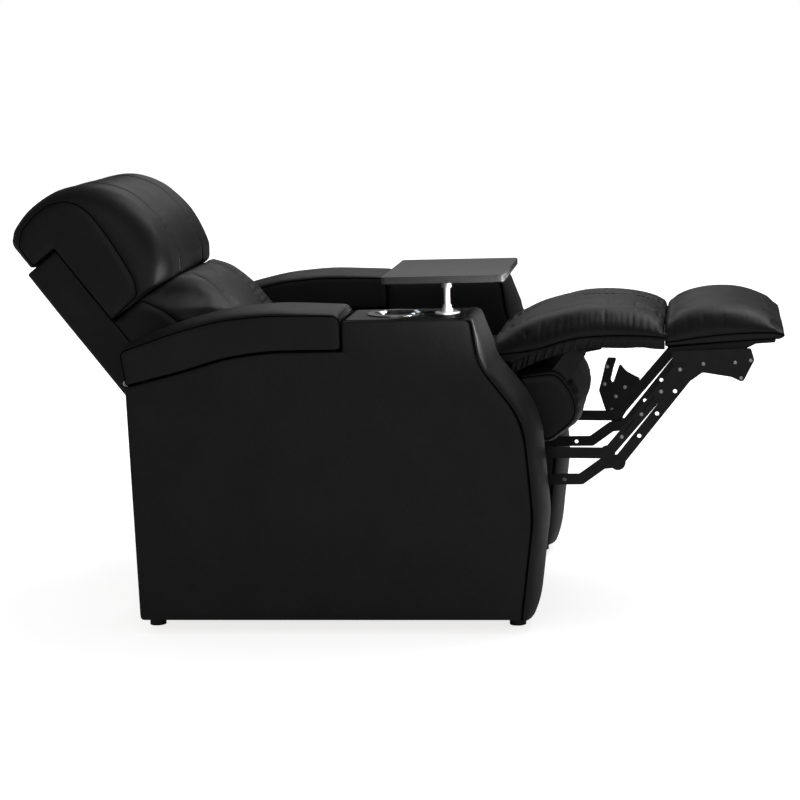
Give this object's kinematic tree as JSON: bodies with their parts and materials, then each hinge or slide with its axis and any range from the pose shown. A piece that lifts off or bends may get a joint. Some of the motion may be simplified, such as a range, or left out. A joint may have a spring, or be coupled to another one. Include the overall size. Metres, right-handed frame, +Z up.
{
  "type": "recliner chair",
  "caption": "Black leather powered recliner: storage arms with cup holders, swivel tray, reclining back with tilting headrest, gliding seat and a chaise footrest on a folding steel linkage.",
  "frame": {"origin": "on the floor, under the middle of the chair's reclined length and width", "axes": "the chair faces -Y, +Z is up, +X is the sitter's left"},
  "size_m": [0.91, 1.701, 0.9598],
  "materials": {
    "leather": "semi-matt black bonded leather over foam and board",
    "painted_steel": "black powder coat",
    "zinc_steel": "zinc-plated steel",
    "chrome": "polished chrome",
    "cup_steel": "brushed stainless steel",
    "tray_laminate": "dark grey laminate on board",
    "timber": "plywood",
    "black_lining": "black lining cloth glued on board",
    "webbing": "elastic webbing",
    "black_plastic": "moulded black plastic",
    "aluminium": "extruded aluminium",
    "lit_button": "clear lit button cap"
  },
  "bodies": {
    "base": {"arm_front_band_right": "leather", "arm_outer_panel_right": "leather", "arm_inner_panel_right": "leather", "arm_rear_wall_right": "leather", "arm_base_board_right": "timber", "arm_storage_box_right": "black_lining", "arm_console_right": "leather", "cup_holder_right": "cup_steel", "arm_front_band_left": "leather", "arm_outer_panel_left": "leather", "arm_inner_panel_left": "leather", "arm_rear_wall_left": "leather", "arm_base_board_left": "timber", "arm_storage_box_left": "black_lining", "arm_console_left": "leather", "cup_holder_left": "cup_steel", "arm_lid_hinges": "zinc_steel", "foot_glides": "black_plastic", "tray_flange": "chrome", "base_rails": "painted_steel", "front_cross_rail": "timber", "rear_cross_rail": "timber", "power_inlet": "black_plastic"},
    "lid_right": {"arm_lid_right": "leather"},
    "lid_left": {"arm_lid_left": "leather"},
    "tray": {"tray_post": "chrome", "tray_bracket": "zinc_steel", "tray_top": "tray_laminate"},
    "recline_button": {"recline_button": "lit_button"},
    "raise_button": {"raise_button": "lit_button"},
    "light_button": {"light_button": "lit_button"},
    "seat": {"seat_side_plates": "painted_steel", "glide_runners": "black_plastic", "seat_frame": "timber", "seat_webbing": "webbing", "seat_cushion": "leather", "seat_front_roll": "leather", "chaise_pad": "leather", "footrest_track": "aluminium", "footrest_motor": "black_plastic", "back_actuator_motor": "black_plastic"},
    "footrest_drive": {"footrest_carriage": "black_plastic"},
    "back_lift": {"back_actuator_rod": "aluminium"},
    "lower_link": {"torque_tube": "painted_steel", "lower_links": "painted_steel"},
    "upper_link": {"upper_links": "painted_steel"},
    "front_diagonal": {"front_diagonals": "painted_steel"},
    "rear_diagonal": {"rear_diagonals": "painted_steel"},
    "footrest": {"chaise_board": "black_lining", "foot_pad": "leather", "ottoman_board": "leather", "ottoman_brackets": "painted_steel"},
    "back": {"back_frame": "black_lining", "back_shell": "leather", "back_webbing": "webbing", "back_cushion": "leather", "back_brackets": "painted_steel", "headrest_brackets": "painted_steel"},
    "headrest": {"headrest_cushion": "leather", "headrest_board": "black_lining"}
  },
  "joints": [
    {"name": "seat_glide", "type": "slide", "parent": "base", "child": "seat", "axis": [0, 1, 0], "range_m": [0, 0.11022]},
    {"name": "footrest_fold", "type": "hinge", "parent": "seat", "child": "footrest", "pos_m": [0, -0.41509, 0.578], "axis": [1, 0, 0], "range_deg": [0, 90], "deforming": ["chaise_pad"]},
    {"name": "lower_link_swing", "type": "hinge", "parent": "seat", "child": "lower_link", "pos_m": [0, -0.28009, 0.293], "axis": [1, 0, 0], "range_deg": [0, 79.41]},
    {"name": "front_diagonal_swing", "type": "hinge", "parent": "lower_link", "child": "front_diagonal", "pos_m": [0, -0.49209, 0.33], "axis": [1, 0, 0], "range_deg": [-117.31, 0]},
    {"name": "upper_link_swing", "type": "hinge", "parent": "seat", "child": "upper_link", "pos_m": [0, -0.26009, 0.356], "axis": [1, 0, 0], "range_deg": [0, 88.73]},
    {"name": "rear_diagonal_swing", "type": "hinge", "parent": "upper_link", "child": "rear_diagonal", "pos_m": [0, -0.47009, 0.352], "axis": [1, 0, 0], "range_deg": [-103.12, 0]},
    {"name": "footrest_drive_slide", "type": "slide", "parent": "seat", "child": "footrest_drive", "axis": [0, 1, 0], "range_m": [0, 0.1002]},
    {"name": "back_recline", "type": "hinge", "parent": "seat", "child": "back", "pos_m": [0, 0.27004, 0.45513], "axis": [1, 0, 0], "range_deg": [0, 27]},
    {"name": "back_lift_slide", "type": "slide", "parent": "seat", "child": "back_lift", "axis": [0, 0.4083, 0.9129], "range_m": [0, 0.09029]},
    {"name": "headrest_tilt", "type": "hinge", "parent": "back", "child": "headrest", "pos_m": [0, 0.58122, 0.7184], "axis": [1, 0, 0], "range_deg": [0, 18]},
    {"name": "lid_right_open", "type": "hinge", "parent": "base", "child": "lid_right", "pos_m": [-0.36, 0.55691, 0.545], "axis": [-1, 0, 0], "range_deg": [0, 75]},
    {"name": "lid_left_open", "type": "hinge", "parent": "base", "child": "lid_left", "pos_m": [0.36, 0.55691, 0.545], "axis": [-1, 0, 0], "range_deg": [0, 75]},
    {"name": "tray_swivel", "type": "hinge", "parent": "base", "child": "tray", "pos_m": [-0.36, -0.14209, 0.748], "axis": [0, 0, -1], "range_deg": [0, 150]},
    {"name": "recline_button_press", "type": "slide", "parent": "base", "child": "recline_button", "axis": [0, 0, -1], "range_m": [0, 0.001], "stiffness_N_per_m": 400},
    {"name": "raise_button_press", "type": "slide", "parent": "base", "child": "raise_button", "axis": [0, 0, -1], "range_m": [0, 0.001], "stiffness_N_per_m": 400},
    {"name": "light_button_press", "type": "slide", "parent": "base", "child": "light_button", "axis": [0, 0, -1], "range_m": [0, 0.001], "stiffness_N_per_m": 400}
  ],
  "couplings": [
    {"joint": "seat_glide", "follows": "footrest_fold", "m_per_rad": 0.070028},
    {"joint": "lower_link_swing", "follows": "footrest_fold", "ratio": 0.87681},
    {"joint": "front_diagonal_swing", "follows": "footrest_fold", "ratio": -1.2978},
    {"joint": "upper_link_swing", "follows": "footrest_fold", "ratio": 0.98029},
    {"joint": "rear_diagonal_swing", "follows": "footrest_fold", "ratio": -1.1402},
    {"joint": "footrest_drive_slide", "follows": "footrest_fold", "m_per_rad": 0.063662},
    {"joint": "back_lift_slide", "follows": "back_recline", "m_per_rad": 0.19122}
  ]
}
